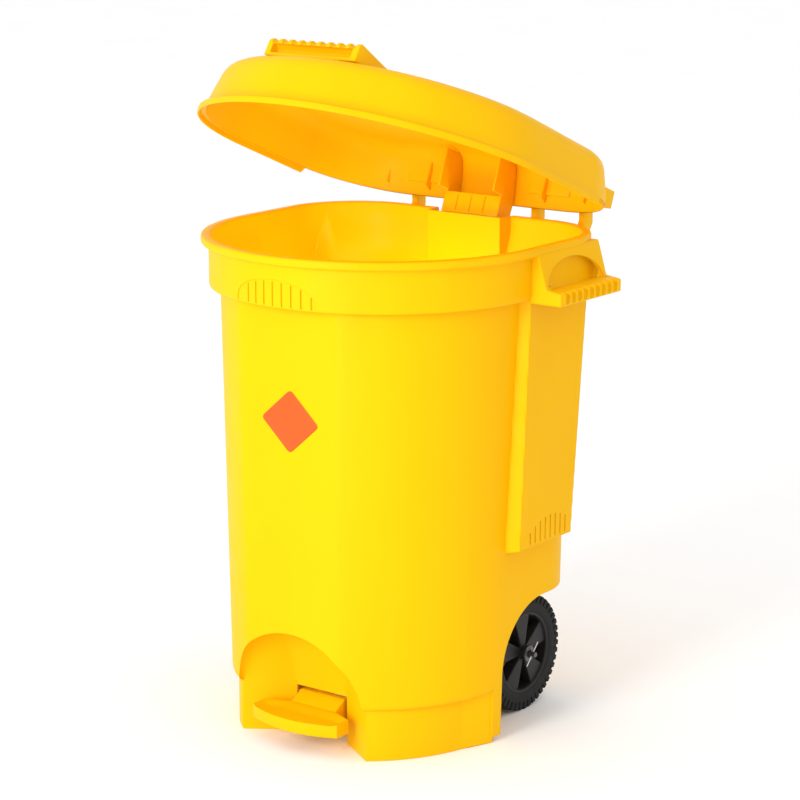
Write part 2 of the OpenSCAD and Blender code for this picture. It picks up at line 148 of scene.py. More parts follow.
def ring_solid(name, rings, closed=False):
    """Closed solid through a stack of rings with the same number of points; closed joins last to first."""
    rings = np.asarray(rings, float)
    rows, n = rings.shape[:2]
    index = np.arange(rows * n).reshape(rows, n)
    above = np.roll(index, -1, 0) if closed else index[1:]
    below = index if closed else index[:-1]
    quads = np.stack([below, np.roll(below, -1, 1), np.roll(above, -1, 1), above], -1).reshape(-1, 4)
    faces = quads.tolist()
    if not closed:
        faces += [index[0][::-1].tolist(), index[-1].tolist()]
    return tidy_normals(new_object(name, rings.reshape(-1, 3), faces))


def prism(name, outline, axis, lo, hi, bevel=0.0, segments=3):
    """Outline in the plane across axis, drawn from lo to hi, with rounded edges."""
    order = {"x": lambda a, b, t: (t, a, b), "y": lambda a, b, t: (a, t, b),
             "z": lambda a, b, t: (a, b, t)}[axis]
    n = len(outline)
    points = [order(a, b, t) for t in (lo, hi) for a, b in outline]
    faces = [list(range(n))[::-1], list(range(n, 2 * n))]
    faces += [[i, (i + 1) % n, n + (i + 1) % n, n + i] for i in range(n)]
    obj = tidy_normals(new_object(name, points, faces))
    if bevel:
        round_edges(obj, bevel, segments)
    return obj


def round_edges(obj, width, segments=3, angle=25):
    """Bevels every edge that is sharper than angle, in degrees."""
    bm = bmesh.new()
    bm.from_mesh(obj.data)
    sharp = [e for e in bm.edges if e.is_manifold and e.calc_face_angle(0) > math.radians(angle)]
    bmesh.ops.bevel(bm, geom=sharp, offset=width, segments=segments, profile=0.5, affect="EDGES",
                    clamp_overlap=True)
    bmesh.ops.remove_doubles(bm, verts=bm.verts, dist=1e-4)
    bm.to_mesh(obj.data)
    bm.free()


def lathe(name, profile, axis, centre, n=96):
    """Solid of revolution from (along, radius) pairs, with flat ends or a profile closed on itself."""
    angle = np.linspace(0, 2 * math.pi, n, endpoint=False)
    rings = []
    for along, radius in profile:
        a, b = radius * np.cos(angle), radius * np.sin(angle)
        t = np.full(n, along)
        rings.append(np.stack({"x": (t, a, b), "z": (a, b, t)}[axis], 1) + centre)
    if profile[-1] == profile[0]:
        return ring_solid(name, rings[:-1], closed=True)
    return ring_solid(name, rings)


def rod_profile(lo, hi, r, chamfer):
    return [(lo, r - chamfer), (lo + chamfer, r), (hi - chamfer, r), (hi, r - chamfer)]


def joined(name, parts):
    """One object from several that stay apart; the parts are removed."""
    bm = bmesh.new()
    for part in parts:
        bm.from_mesh(part.data)
        bpy.data.objects.remove(part)
    mesh = bpy.data.meshes.new(name)
    bm.to_mesh(mesh)
    bm.free()
    obj = bpy.data.objects.new(name, mesh)
    bpy.context.scene.collection.objects.link(obj)
    return obj


def combine(obj, tool, operation):
    """Boolean of two closed solids, applied; the tool is removed."""
    modifier = obj.modifiers.new(operation, "BOOLEAN")
    modifier.operation = operation
    modifier.solver = "MANIFOLD"
    modifier.object = tool
    apply_modifiers(obj)
    bpy.data.objects.remove(tool)
    return obj


def cut(obj, *tools):
    for tool in tools:
        combine(obj, tool, "DIFFERENCE")
    return obj


def fuse(obj, *tools):
    for tool in tools:
        combine(obj, tool, "UNION")
    return obj


def apply_modifiers(obj):
    """Swaps the mesh for the one that the modifiers make."""
    bpy.context.view_layer.update()
    evaluated = obj.evaluated_get(bpy.context.evaluated_depsgraph_get())
    mesh = bpy.data.meshes.new_from_object(evaluated)
    old = obj.data
    obj.modifiers.clear()
    obj.data = mesh
    bpy.data.meshes.remove(old)


def mirrored(obj, name):
    """A copy on the other side of the bin."""
    twin = obj.copy()
    twin.data = obj.data.copy()
    twin.name = name
    bpy.context.scene.collection.objects.link(twin)
    twin.data.transform(Matrix.Scale(-1, 4, (1, 0, 0)))
    twin.data.flip_normals()
    return twin


def fillet(points, radius, steps=4):
    """An open polyline with its inner corners rounded."""
    out = [points[0]]
    for before, corner, after in zip(points, points[1:], points[2:]):
        p, c, q = (np.array(v, float) for v in (before, corner, after))
        d0, d1 = p - c, q - c
        reach = min(radius, 0.45 * np.linalg.norm(d0), 0.45 * np.linalg.norm(d1))
        a, b = c + d0 / np.linalg.norm(d0) * reach, c + d1 / np.linalg.norm(d1) * reach
        for t in np.linspace(0, 1, steps):
            out.append(tuple((1 - t) ** 2 * a + 2 * t * (1 - t) * c + t ** 2 * b))
    return out + [points[-1]]


def soft_max(a, b, k):
    """The larger of two, blended where they are within k of each other."""
    h = np.clip(k - np.abs(a - b), 0, None) / k
    return np.maximum(a, b) + h * h * k / 4


def soft_min(a, b, k):
    return -soft_max(-a, -b, k)


def smooth_step(t):
    """Eases from 0 to 1."""
    t = np.clip(t, 0, 1)
    return t * t * (3 - 2 * t)


# ---------------------------------------------------------------- outlines of the bin
def ring_stations():
    """Where the points of every outline sit: (front angles, side shares, corner angles, back shares).

    They stand closer together at the flat panel's edges and where the pillars begin and end.
    """
    edge = np.arange(14, 27, 0.6)
    end = np.arange(84.5, 90, 0.5)
    front = np.concatenate([np.arange(-90, 90.1, 1.8), edge, -edge, end, -end])
    front = np.unique(np.round(front, 2))
    side = np.concatenate([np.linspace(0, 0.25, 12), np.linspace(0.3, 1, 12)])
    corner = np.concatenate([np.arange(0, 8, 3), np.arange(8, 38, 1.1), np.arange(38, 90.1, 2.9)])
    back = np.linspace(0, 1, 25)
    return np.radians(front), side[1:], np.radians(corner)[1:], back[1:-1]


FRONT_A, SIDE_S, CORNER_A, BACK_S = ring_stations()


def plan(half, front, back, r):
    """Outline with a half ellipse in front, straight sides and rounded back corners, as (n, 2)."""
    arc = np.stack([half * np.sin(FRONT_A), -front * np.cos(FRONT_A)], 1)
    side = np.stack([np.full(len(SIDE_S), half), SIDE_S * (back - r)], 1)
    corner = np.stack([half - r + r * np.cos(CORNER_A), back - r + r * np.sin(CORNER_A)], 1)
    right = np.concatenate([side, corner])
    left = right[::-1] * (-1, 1)
    reach = half - r
    behind = np.stack([reach - 2 * reach * BACK_S, np.full(len(BACK_S), back)], 1)
    return np.concatenate([arc, right, behind, left[:-1]])


def mixed(a, b, t):
    """Values that lie the share t of the way from a to b."""
    return tuple(p + (q - p) * t for p, q in zip(a, b))


def inset(dims, t):
    """An outline's dimensions, t further in."""
    return tuple(d - t for d in dims)


def wall_plan(z, t=0.0):
    """The wall's outline at height z, t inside its outer face."""
    return plan(*inset(mixed(WALL_BASE, WALL_TOP, z / COLLAR_Z), t))


def pillar_face(y, z, t=0.0):
    """How far out the pillar under a handle stands, before it meets the wall."""
    k = (z - PILLAR_Z) / (COLLAR_Z - PILLAR_Z)
    plane = 277 + 5.4 * k - t
    front = -3 + 17 * k + t
    back = 152 + 32 * k - t
    root, side_slope, foot_slope, soft = 236, 9.0, 6, 9
    face = soft_min(plane, root + side_slope * (y - front + 3), soft)
    face = soft_min(face, root + side_slope * (back + 3 - y), soft)
    return soft_min(face, root + foot_slope * (z - PILLAR_Z - t + 4), soft)


def wall_ring(z, t=0.0):
    """The wall at height z with its flat panel and pillars; t draws in all but the pillars."""
    x, y = wall_plan(z, t).T
    flat_y = soft_max(y, np.full_like(y, t - PANEL_Y), 3.2)
    reach = soft_max(np.abs(x), pillar_face(y, np.full_like(y, z)), 9)
    pillar = (y > PILLAR_ZONE[0]) & (y < PILLAR_ZONE[1])
    new_x = np.where(pillar, np.sign(x) * reach, x)
    return np.stack([new_x, flat_y, np.full_like(x, z)], 1)


def at_height(ring, z):
    """A flat outline as points in space."""
    return np.column_stack([ring, np.full(len(ring), z)])


def flat_ring(dims, z):
    return at_height(plan(*dims), z)


def bin_outer():
    """The outer face from the floor to the rim as one solid."""
    rings = [flat_ring(inset(PLINTH, t), z) for t, z in ((1.4, 0), (0.5, 0.4), (0, 1.6), (0, PLINTH_Z - 0.2))]
    for t, z in ((8.5, 0.0), (5.6, 0.5), (3.4, 1.8), (1.6, 4.0), (0.5, 7.2)):
        rings.append(wall_ring(PLINTH_Z + z, t))
    levels = np.concatenate([[PLINTH_Z + 11], np.linspace(PLINTH_Z + 18, 300, 16),
                             np.arange(306, 346, 2.5), np.linspace(352, COLLAR_Z - 8, 30),
                             [COLLAR_Z - 4, COLLAR_Z - 2]])
    for z in levels:
        rings.append(wall_ring(z))
    ledge_z = COLLAR_Z - 0.6
    wall = wall_ring(ledge_z)
    collar = flat_ring(COLLAR, COLLAR_Z)
    for share, rise in ((0.0, 0.0), (0.02, 0.5), (0.08, 0.7), (0.45, 0.7), (0.8, 0.7), (0.9, 1.0),
                        (0.96, 1.9), (0.99, 3.2), (1.0, 4.6)):
        ring = wall * (1 - share) + collar * share
        ring[:, 2] = ledge_z + rise
        rings.append(ring)
    lip_out = LIP[0] - COLLAR[0]
    top = [(0, COLLAR_Z + 20), (0, RIM_Z - LIP_H), (lip_out, RIM_Z - LIP_H), (lip_out, RIM_Z), (-2, RIM_Z)]
    for out, z in fillet(top, 5.2, 6):
        rings.append(flat_ring(mixed(COLLAR, LIP, out / lip_out), z))
    return ring_solid("bin_outer", rings)


def bin_hollow():
    """The inside, from the floor out through the rim."""
    rings = []
    for shrink, rise in ((14, 0), (8, 1.0), (3.6, 3.6), (1, 8), (0, 14)):
        rings.append(clipped_inside(at_height(wall_plan(FLOOR_Z, WALL + shrink), FLOOR_Z + rise)))
    levels = np.concatenate([np.linspace(FLOOR_Z + 30, 300, 8), np.arange(308, 346, 4),
                             np.linspace(356, COLLAR_Z, 22)])
    for z in levels:
        rings.append(clipped_inside(at_height(wall_plan(z, WALL), z)))
    wall = rings[-1]
    collar = flat_ring(inset(COLLAR, WALL), COLLAR_Z)
    for share in np.linspace(0.08, 1, 14):
        ring = wall * (1 - smooth_step(share)) + collar * smooth_step(share)
        ring[:, 2] = COLLAR_Z + (RIM_Z - LIP_H - COLLAR_Z) * share
        rings.append(ring)
    for out, rise in ((0, -9), (0, -4), (0.4, -2.2), (1.2, -1.0), (2.4, -0.3), (3.4, 0.4)):
        rings.append(flat_ring(inset(COLLAR, WALL - out), RIM_Z + rise))
    return ring_solid("bin_hollow", rings)


def clipped_inside(ring):
    """The inner face follows the flat panel and the pillars."""
    x, y, z = ring.T
    flat_y = soft_max(y, np.full_like(y, -PANEL_Y + WALL), 4)
    reach = soft_max(np.abs(x), pillar_face(y, z, WALL), 6)
    pillar = (y > PILLAR_ZONE[0]) & (y < PILLAR_ZONE[1] - 6)
    return np.stack([np.where(pillar, np.sign(x) * reach, x), flat_y, z], 1)


def underside_hollow():
    """The space under the floor, inside the plinth."""
    rings = [flat_ring(inset(PLINTH, WALL), z) for z in (-3, 40, FLOOR_Z - FLOOR_T)]
    return ring_solid("under", rings)


def wheel_strips():
    """Strips of the wall that run down in front of the wheels, and the plinth's swell towards them."""
    rings = [wall_ring(z, t) for z, t in ((9, 1.2), (9.4, 0.3), (10.5, 0), (50, 0), (PLINTH_Z + 14, 0))]
    strips = ring_solid("strips", rings)
    front, back, wide = -24, 20, 400
    slab = prism("slab", [(-wide, front), (wide, front), (wide, back), (-wide, back)], "z", 0, 300)
    strips = combine(strips, slab, "INTERSECT")
    swell = [(190, -84), (216.5, -84), (224.5, -66), (233.5, -44), (239, -30), (240.8, -24.4), (241.4, -20),
             (190, -20)]
    return fuse(strips, on_both_sides(prism("swell", swell, "z", 0.8, PLINTH_Z + 6, 1.2, 2)))


# ---------------------------------------------------------------- pockets cut in the bin
def alcove_tool(grow):
    """The splayed pedal opening and the coved hood over it, both grown by the wall they need."""
    mouth_x, throat_x = 131 + grow, 52 + grow
    mouth_y, throat_y = -215, -165 + grow
    flare = [(-mouth_x, FAR_FRONT), (-mouth_x, mouth_y), (-throat_x, throat_y), (throat_x, throat_y),
             (mouth_x, mouth_y), (mouth_x, FAR_FRONT)]
    foot = prism("foot", flare, "z", -2, PLINTH_Z + grow)
    n = 49
    t = np.linspace(0, math.pi, n)
    arch_x, arch_rise = 127 + grow, 110 + grow
    arch = np.stack([-arch_x * np.cos(t), np.full(n, -PANEL_Y - 0.5), PLINTH_Z + arch_rise * np.sin(t)], 1)
    lower = at_height(along_path(flare[1:5], arch[:, 0]), PLINTH_Z - 0.6)
    rows = []
    for s in np.linspace(0, 1, 22):
        inward = math.sin(s * math.pi / 2) ** 0.8
        down = 1 - math.cos(s * math.pi / 2) ** 1.15
        rows.append(arch + (lower - arch) * (down, inward, down))
    front = [row * (1, 0, 1) + (0, FAR_FRONT, 0) for row in rows]
    return foot, sheet_solid("hood", np.array(rows), np.array(front))


def along_path(path, xs):
    """Points on a polyline at the given x."""
    px, py = np.array(path, float).T
    x = np.clip(xs, px[0], px[-1])
    return np.stack([x, np.interp(x, px, py)], 1)


def sheet_solid(name, back, front):
    """Closed solid between two grids of points of the same shape."""
    rows, n = back.shape[:2]
    index = np.arange(rows * n).reshape(rows, n)
    size = rows * n
    faces = []
    for r in range(rows - 1):
        for c in range(n - 1):
            quad = [index[r, c], index[r, c + 1], index[r + 1, c + 1], index[r + 1, c]]
            faces.append(quad)
            faces.append([size + i for i in quad[::-1]])
    border = list(index[0]) + list(index[1:, -1]) + list(index[-1, :-1][::-1]) + list(index[1:-1, 0][::-1])
    for a, b in zip(border, border[1:] + border[:1]):
        faces.append([b, a, size + a, size + b])
    obj = new_object(name, np.concatenate([back.reshape(-1, 3), front.reshape(-1, 3)]), faces)
    bm = bmesh.new()
    bm.from_mesh(obj.data)
    bmesh.ops.remove_doubles(bm, verts=bm.verts, dist=1e-5)
    bmesh.ops.recalc_face_normals(bm, faces=bm.faces)
    bm.to_mesh(obj.data)
    bm.free()
    return obj


def bay_tool(grow):
    """One wheel bay on the right, grown by the wall it needs round it."""
    y, z, r = BAY
    r += grow
    front, back, side = BAY_FRONT - grow, y + 300, 330
    arc = [(y + r * math.cos(a), z + r * math.sin(a)) for a in np.linspace(math.pi / 2, math.pi, 40)]
    outline = [(back, -3), (back, z + r)] + arc + [(front, z - 12), (front, -3)]
    return prism("bay", outline, "x", BAY_X - grow, side)


def channel_tool(grow):
    """The upright channel behind the bin that the push rod runs in."""
    front, back = CHANNEL_X[0] + grow, CHANNEL_X[1] + grow
    y = CHANNEL_Y - grow
    outline = [(-front, y), (front, y), (back, FAR_BACK), (-back, FAR_BACK)]
    return prism("channel", outline, "z", -3, RIM_Z + 3)


def on_both_sides(tool):
    """The tool and its mirror image as one object."""
    return joined(tool.name + "_pair", [mirrored(tool, tool.name + "_l"), tool])


def slot_outline(x, z0, z1, r=1.4, n=6):
    """Narrow upright slot with round ends."""
    top = [(x + r * math.cos(a), z1 - r + r * math.sin(a)) for a in np.linspace(0, math.pi, n)]
    low = [(x + r * math.cos(a), z0 + r + r * math.sin(a)) for a in np.linspace(math.pi, 2 * math.pi, n)]
    return top + low


def collar_front_y(x, depth):
    """The collar's front face at x, depth inside it."""
    return -(COLLAR[1] - depth) * np.sqrt(np.clip(1 - (x / (COLLAR[0] - depth)) ** 2, 0, 1))


def arch_top(x):
    """Height of the low arch on the collar at x."""
    foot_z, rise, middle, half = 746, 35.5, -2, 79
    return foot_z + rise * np.sqrt(np.clip(1 - ((x - middle) / half) ** 2, 0, 1))


def collar_relief():
    """The low arch on the front of the collar and the upright grooves in it."""
    ahead = -295.0
    x = np.linspace(-80.5, 76.5, 60)
    share = np.linspace(0, 1, 10)
    top = np.maximum(arch_top(x), 746.4)
    z = COLLAR_Z - 2 + share[:, None] * (top - COLLAR_Z + 2)
    xs = np.broadcast_to(x, z.shape)
    back = np.stack([xs, collar_front_y(xs, 0.9), z], -1)
    front = np.stack([xs, np.full_like(z, ahead), z], -1)
    arch = sheet_solid("arch", back, front)
    count, first_x, pitch = 8, -54, 17.6
    grooves = []
    for i in range(count):
        groove_x = first_x + i * pitch
        outline = slot_outline(groove_x, COLLAR_Z + 3.5, float(arch_top(groove_x)) - 2.5)
        grooves.append(prism("groove", outline, "y", ahead, float(collar_front_y(groove_x, 2.6))))
    return arch, joined("grooves", grooves)


def pillar_grooves():
    """Upright grooves whose tops follow an arch, at the foot of the pillar."""
    count, first_y, pitch = 8, 30, 14.5
    foot_z, tallest, fall = PILLAR_Z + 8, 40, 19
    grooves = []
    for i in range(count):
        height = tallest - fall * ((i - 4) / 4) ** 2
        outline = slot_outline(first_y + i * pitch, foot_z, foot_z + height, 1.5)
        grooves.append(prism("groove", outline, "x", 273.6, 300))
    return on_both_sides(joined("pillar_grooves", grooves))


# ---------------------------------------------------------------- handles
def handle_solid():
    """The right handle: slanted wall, bar, its ribs, and the finger gaps between them."""
    y0, y1 = HANDLE_Y
    root_x = 268
    bar_top = HANDLE_Z + BAR_H
    lip_z = RIM_Z - LIP_H
    profile = [(root_x, HANDLE_Z), (HANDLE_X, HANDLE_Z), (HANDLE_X, bar_top - 1), (311, bar_top + 3),
               (294.5, lip_z + 5), (root_x, lip_z + 5)]
    body = prism("handle", profile, "y", y0, y1, 3.0, 4)
    inner = [(287, HANDLE_Z - 5), (HANDLE_X - 7, HANDLE_Z - 5), (HANDLE_X - 7, bar_top - 5),
             (307, bar_top - 2), (291.5, lip_z - 6), (287, lip_z - 6)]
    cut(body, prism("handle_hollow", inner, "y", y0 + 4.5, y1 - 4.5, 2.5, 3))
    gap_count, end, rib_r, gap_r = 9, 11, 6.8, 5.6
    pitch = (y1 - y0 - 2 * end) / gap_count
    rib_x, gap_x = HANDLE_X - 5.4, HANDLE_X + 1.0
    ribs, gaps = [], []
    for i in range(gap_count + 1):
        y = y0 + end + i * pitch
        ribs.append(capsule("rib", (rib_x, y, HANDLE_Z + 6.5), (rib_x, y, bar_top - 5.5), rib_r))
    for i in range(gap_count):
        y = y0 + end + (i + 0.5) * pitch
        gaps.append(capsule("gap", (gap_x, y, HANDLE_Z + 8), (HANDLE_X - 3.5, y, bar_top + 3), gap_r))
    return cut(fuse(body, joined("ribs", ribs)), joined("gaps", gaps))


def capsule(name, a, b, r, n=20):
    """Round-ended bar between two points."""
    a, b = np.array(a, float), np.array(b, float)
    along = (b - a) / np.linalg.norm(b - a)
    side = np.cross(along, (0, 0, 1) if abs(along[2]) < 0.9 else (1, 0, 0))
    side /= np.linalg.norm(side)
    up = np.cross(along, side)
    angle = np.linspace(0, 2 * math.pi, n, endpoint=False)
    circle = np.cos(angle)[:, None] * side + np.sin(angle)[:, None] * up
    rings = []
    for t in np.linspace(-80, 0, 6):
        rings.append(a + along * r * math.sin(math.radians(t)) + circle * r * math.cos(math.radians(t)))
    for t in np.linspace(0, 80, 6):
        rings.append(b + along * r * math.sin(math.radians(t)) + circle * r * math.cos(math.radians(t)))
    return ring_solid(name, rings)


def finger_scoop():
    """The arched hollow in the slanted wall over the handle bar."""
    n = 33
    t = np.linspace(0, math.pi, n)
    mid_y, half_y = (HANDLE_Y[0] + HANDLE_Y[1]) / 2 - 1, 79
    z0, rise, deepest = HANDLE_Z + BAR_H + 1, 43, 11
    rows = []
    for s in np.linspace(0, 1, 12):
        depth = deepest * math.sin(s * math.pi / 2)
        shrink = 1 - 0.16 * s ** 3
        y = mid_y - half_y * shrink * np.cos(t)
        z = z0 + rise * shrink * np.sin(t)
        slanted_wall = 311 - (z - z0) * 16.5 / 51
        x = slanted_wall + 0.8 - depth * (0.35 + 0.65 * np.sin(t) ** 0.7)
        rows.append(np.stack([x, y, z], 1))
    rows.append(rows[-1] * (1, 1, 0) + (0, 0, z0))
    outer = [np.stack([np.full(n, 345.0), row[:, 1], row[:, 2]], 1) for row in rows]
    return sheet_solid("scoop", np.array(rows), np.array(outer))


# ---------------------------------------------------------------- the bin
def build_bin():
    """The bin's one moulding: the outer solid, less its inside, its underside and every pocket."""
    shell = bin_outer()
    fuse(shell, wheel_strips())
    fuse(shell, on_both_sides(handle_solid()))
    # flat pads that carry the hinge brackets
    for side in (-1, 1):
        lo, hi = sorted((side * 64, side * 189))
        fuse(shell, prism("pad", [(lo, 200), (hi, 200), (hi, 258.8), (lo, 258.8)], "z", 688, 800, 3))
    inside = bin_hollow()
    foot, hood = alcove_tool(WALL)
    cut(inside, foot, hood, on_both_sides(bay_tool(WALL)), channel_tool(WALL))
    cut(shell, inside)
    under = underside_hollow()
    foot, hood = alcove_tool(WALL)
    wall_y = CHANNEL_Y - WALL
    cut(under, foot, hood, on_both_sides(bay_tool(WALL)),
        prism("back_wall", [(-100, wall_y), (100, wall_y), (100, FAR_BACK), (-100, FAR_BACK)], "z", -9, 200))
    cut(shell, under)
    foot, hood = alcove_tool(0)
    cut(shell, foot, hood, on_both_sides(bay_tool(0)), channel_tool(0))
    # openings that the pedal's neck and the lever's end pass through
    cut(shell, prism("throat", [(-52, -166), (52, -166), (52, -140), (-52, -140)], "z", -3, 80))
    cut(shell, prism("slot", [(-30, 212), (30, 212), (30, 260), (-30, 260)], "z", -3, FLOOR_Z - FLOOR_T - 1))
    cut(shell, *collar_relief())
    cut(shell, pillar_grooves())
    cut(shell, on_both_sides(finger_scoop()))
    bore = rod_profile(BAY_X - 12, BAY_X + 4, AXLE_R + 0.3, 0.1)
    cut(shell, on_both_sides(lathe("bore", bore, "x", (0, WHEEL_Y, WHEEL_Z), 48)))
    shell.name = "bin_shell_moulding"
    return shell


# ---------------------------------------------------------------- the lid, drawn shut
def lid_rings(t):
    """Rings of the lid's face, t inside the outer one, from the open edge to the crown."""
    # drawn in at the sides, drawn in at the ends, below the crown
    steps = [(0, 0, 82), (1.6, 1.0, 76), (5, 3.2, 62), (9.4, 6.4, 48), (14, 10, 34), (16.4, 12.2, 26),
             (19, 15, 19.4), (22.6, 18.4, 13.8), (27.5, 23.2, 9.2), (34, 30, 5.2), (42, 38, 2.6),
             (52, 48, 0.9), (62, 58, 0.2), (90, 86, 0), (150, 146, 0), (230, 230, 0)]
    half, front, back, corner = DOME
    rings = []
    for side, ends, drop in steps:
        near = t if side < 80 else 0
        dims = (half - side - near, front - ends - near, back - ends - near, max(corner - side - near, 6))
        rings.append(flat_ring(dims, CROWN_Z - drop - t))
    return rings


def build_lid_shell():
    """The domed lid with the flared skirt on its front and sides, knuckles, lugs and small inner ribs."""
    # 1 along the skirt, 0 behind its end, where the edge steps up
    has_skirt = 1 - smooth_step((plan(*SKIRT)[:, 1] - SKIRT_END + 2) / 4)
    edge_z = SKIRT_Z + 13.5 * (1 - has_skirt)

    def skirt_ring(t, share, rise):
        """The dome's edge, t inside its outer face, taken share of the way out to the skirt."""
        near, far = plan(*inset(DOME, t)), plan(*inset(SKIRT, t))
        ring = near + (far - near) * (has_skirt * share)[:, None]
        return np.column_stack([ring, np.maximum(SKIRT_Z + rise, edge_z)])

    # inner face, from the crown down
    rings = lid_rings(LID_WALL)[::-1]
    for share, rise in ((0.0, 10.5), (0.4, 9.4), (1.0, 8.6), (1.0, 1.2)):
        rings.append(skirt_ring(LID_WALL, share, rise))
    # round edge, then the outer face up to the crown
    inner, outer = skirt_ring(LID_WALL, 1.0, 0.3), skirt_ring(0, 1.0, 0.3)
    rings.append((inner + outer * 0.25) / 1.25)
    rings.append((skirt_ring(LID_WALL, 1.0, 0) + skirt_ring(0, 1.0, 0)) / 2)
    rings.append((inner * 0.25 + outer) / 1.25)
    for share, rise in ((1.0, 1.2), (1.0, 8), (0.97, 9.6), (0.86, 11), (0.68, 11.9), (0.45, 12.4),
                        (0.22, 12.9), (0.08, 13.6), (0.02, 14.6)):
        rings.append(skirt_ring(0, share, rise))
    rings += lid_rings(0)[1:]
    shell = ring_solid("lid_shell_moulding", rings)
    knuckle = [(298, HINGE_Z - KNUCKLE_R)] + knuckle_arc(-math.pi / 2, math.pi / 2, 17)
    knuckle.append((298, HINGE_Z + KNUCKLE_R))
    fuse(shell, on_both_sides(prism("knuckle", knuckle, "x", 84.5, 168.5, 1.2, 2)))
    lug = [(298, HINGE_Z - 15), (347.9, HINGE_Z - 15), (347.9, HINGE_Z + 15), (295, HINGE_Z + 15)]
    fuse(shell, on_both_sides(prism("lug", lug, "x", 181.5, 224, 1.6, 3)))
    pin = rod_profile(60, 218, HINGE_PIN_R + 0.06, 0.1)
    cut(shell, on_both_sides(lathe("pin_bore", pin, "x", (0, HINGE_Y, HINGE_Z), 40)))
    # thin stiffening ribs on the inside of the back wall
    rib = [(288, 832), (304, 826), (297, 868), (291, 872)]
    for x in (-204, -120, 120, 204):
        fuse(shell, prism("rib", rib, "x", x - 1.2, x + 1.2))
    return shell


def knuckle_arc(start, end, n):
    """Arc of the hinge knuckle's outline, as (y, z) points."""
    return [(HINGE_Y + KNUCKLE_R * math.cos(a), HINGE_Z + KNUCKLE_R * math.sin(a))
            for a in np.linspace(start, end, n)]


def build_lid_grip():
    """The wedge-shaped grip, with a finger hollow and a scalloped top edge."""
    side = [(-248, CROWN_Z - 0.5), (-243, CROWN_Z + 25), (-237, CROWN_Z + 30), (-228, CROWN_Z + 28),
            (-114, CROWN_Z + 3), (-112, CROWN_Z - 0.5)]
    grip = prism("lid_grip_moulding", side, "x", -90, 90, 2.4, 3)
    hollow = [(-256, CROWN_Z + 4.5), (-256, CROWN_Z + 20), (-236, CROWN_Z + 20), (-230, CROWN_Z + 14),
              (-230, CROWN_Z + 4.5)]
    cut(grip, prism("finger_hollow", hollow, "x", -79, 79, 2, 2))
    pitch = 19
    scallops = [capsule("scallop", (i * pitch, -250, CROWN_Z + 22), (i * pitch, -226, CROWN_Z + 36), 6.4)
                for i in range(-4, 5)]
    return cut(grip, joined("scallops", scallops))


def build_push_block():
    """The grooved bracket inside the back of the lid that the push rod lifts."""
    x, y, z, height = 58, 264, 785, 36
    outline = [(-x, y), (x, y), (x, y + 4), (-x, y + 4)]
    front = prism("lid_push_block_moulding", outline, "z", z, z + height, 0.9, 2)
    outline = [(-x, y + 1), (x, y + 1), (x, 303), (-x, 303)]
    parts = [prism("shelf", outline, "z", z + 0.4, z + 8, 0.9, 2)]
    plate = [(y + 1, z + 1), (y + 1, 824), (238, 824), (238, 890), (276, 890), (288, 880), (295, 866),
             (304, 820), (302, z + 1)]
    plate_t = 3.6
    for plate_x in (-x, x - plate_t):
        parts.append(prism("plate", plate, "x", plate_x, plate_x + plate_t, 0.9, 2))
    fuse(front, *parts)
    grooves = [prism("groove", slot_outline(groove_x, z + 3, z + height - 3, 1.2), "y", y - 3, y + 1.1)
               for groove_x in (-29, -1, 27)]
    return cut(front, joined("grooves", grooves))


# ---------------------------------------------------------------- hinge, label, pedal
def build_hinge_bracket():
    """The right bracket: a plate on the bin and two ears that hold the hinge pin."""
    outline = [(66, 259), (187, 259), (187, 265), (66, 265)]
    plate = prism("hinge_bracket_moulding_r", outline, "z", 692, 796, 1.6, 3)
    ear = [(262, 700), (262, 796), (316, 796), (HINGE_Y - KNUCKLE_R, 812)] + knuckle_arc(math.pi, 0, 25)
    ear += [(HINGE_Y + KNUCKLE_R, 806), (332, 776), (284, 700)]
    for x in (78, 175):
        fuse(plate, prism("ear", ear, "x", x - 6, x + 6, 1.4, 3))
    pin = lathe("pin_bore", rod_profile(60, 240, HINGE_PIN_R, 0.1), "x", (0, HINGE_Y, HINGE_Z), 40)
    return cut(plate, pin)


def build_label():
    """The plain diamond, turned by a degree as the photograph shows it."""
    half_x, half_z = 58, 52
    middle_x, middle_z = 3, 549
    corners = [(0, half_z), (half_x, 0), (0, -half_z), (-half_x, 0)]
    turn = math.radians(1)
    c, s = math.cos(turn), math.sin(turn)
    ring = [(x * c + z * s + middle_x, z * c - x * s + middle_z) for x, z in rounded_outline(corners, 8)]
    return prism("label_sticker", ring, "y", -PANEL_Y - 0.8, -PANEL_Y + 0.2, 0.3, 2)


def rounded_outline(corners, radius, steps=7):
    """Closed outline with every corner rounded."""
    n = len(corners)
    out = []
    for i in range(n):
        p, c, q = (np.array(corners[(i + k) % n], float) for k in (-1, 0, 1))
        a = c + (p - c) / np.linalg.norm(p - c) * radius
        b = c + (q - c) / np.linalg.norm(q - c) * radius
        for t in np.linspace(0, 1, steps):
            out.append(tuple((1 - t) ** 2 * a + 2 * t * (1 - t) * c + t ** 2 * b))
    return out


